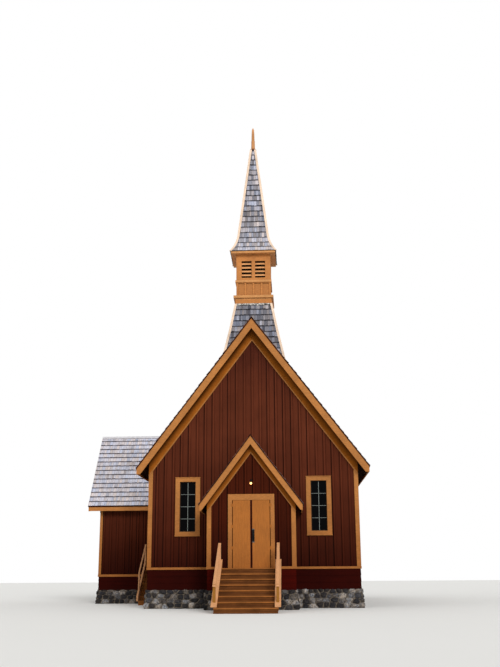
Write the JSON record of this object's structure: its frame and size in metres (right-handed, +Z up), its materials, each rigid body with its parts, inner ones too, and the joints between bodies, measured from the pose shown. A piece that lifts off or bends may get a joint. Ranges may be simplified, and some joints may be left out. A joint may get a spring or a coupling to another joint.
{
  "type": "small timber chapel",
  "caption": "Small timber chapel with a louvred belfry and swept spire, a gabled entrance vestibule with hinged plank doors, a side wing and timber stairs on a stone foundation.",
  "frame": {"origin": "on the ground under the middle of the nave's front wall", "axes": "+X to the right seen from the front, +Y into the building, +Z up"},
  "size_m": [12.07, 20.385, 20.885],
  "materials": {
    "rubble_stone": "rough split field stone",
    "floor_boards": "worn pine boards",
    "red_siding": "stained board and batten",
    "ochre_trim": "painted planed boards",
    "weathered_shingles": "silvered split shingles",
    "window_glass": "clear sheet glass",
    "window_sash": "painted sash",
    "ochre_door": "painted planks",
    "black_iron": "forged and blacked",
    "painted_hinges": "steel painted with the doors",
    "lamp_brass": "dull brass with a frosted bulb",
    "stair_timber": "worn stained planks"
  },
  "bodies": {
    "building": {"foundation": "rubble_stone", "main_floor": "floor_boards", "front_wall_left": "red_siding", "front_wall_right": "red_siding", "front_wall_over_passage": "red_siding", "left_wall_front": "red_siding", "left_wall_rear": "red_siding", "left_wall_over_opening": "red_siding", "right_wall": "red_siding", "rear_wall": "red_siding", "vestibule_side_walls": "red_siding", "vestibule_front_walls": "red_siding", "vestibule_wall_over_door": "red_siding", "wing_front_wall": "red_siding", "wing_end_wall": "red_siding", "wing_rear_wall": "red_siding", "nave_roof_left": "weathered_shingles", "nave_roof_right": "weathered_shingles", "vestibule_roof": "weathered_shingles", "wing_roof": "weathered_shingles", "ridge_caps": "weathered_shingles", "rake_fascias": "ochre_trim", "rake_friezes": "ochre_trim", "eave_boards": "ochre_trim", "corner_boards": "ochre_trim", "water_table": "ochre_trim", "window_casings": "ochre_trim", "window_sashes": "window_sash", "window_glass": "window_glass", "door_casings": "ochre_trim", "door_frame_hinges": "painted_hinges", "door_lamp": "lamp_brass", "front_treads": "stair_timber", "front_risers": "stair_timber", "front_stringers": "stair_timber", "front_rails": "ochre_trim", "side_stair": "stair_timber", "side_rail": "ochre_trim", "side_door": "ochre_door", "steeple_base": "weathered_shingles", "hip_boards": "ochre_trim", "belfry_walls": "ochre_trim", "belfry_mouldings": "ochre_trim", "belfry_louvres": "ochre_trim", "spire_eave": "ochre_trim", "spire": "weathered_shingles", "finial": "ochre_trim"},
    "left_door": {"door_left": "ochre_door", "door_left_hinges": "painted_hinges"},
    "right_door": {"door_right": "ochre_door", "door_right_hinges": "painted_hinges", "door_handle": "black_iron"}
  },
  "joints": [
    {"name": "left_door_hinge", "type": "hinge", "parent": "building", "child": "left_door", "pos_m": [-0.672, -1.667, 2.6], "axis": [0, 0, -1], "range_deg": [0, 95]},
    {"name": "right_door_hinge", "type": "hinge", "parent": "building", "child": "right_door", "pos_m": [0.672, -1.667, 2.6], "axis": [0, 0, 1], "range_deg": [0, 95]}
  ]
}
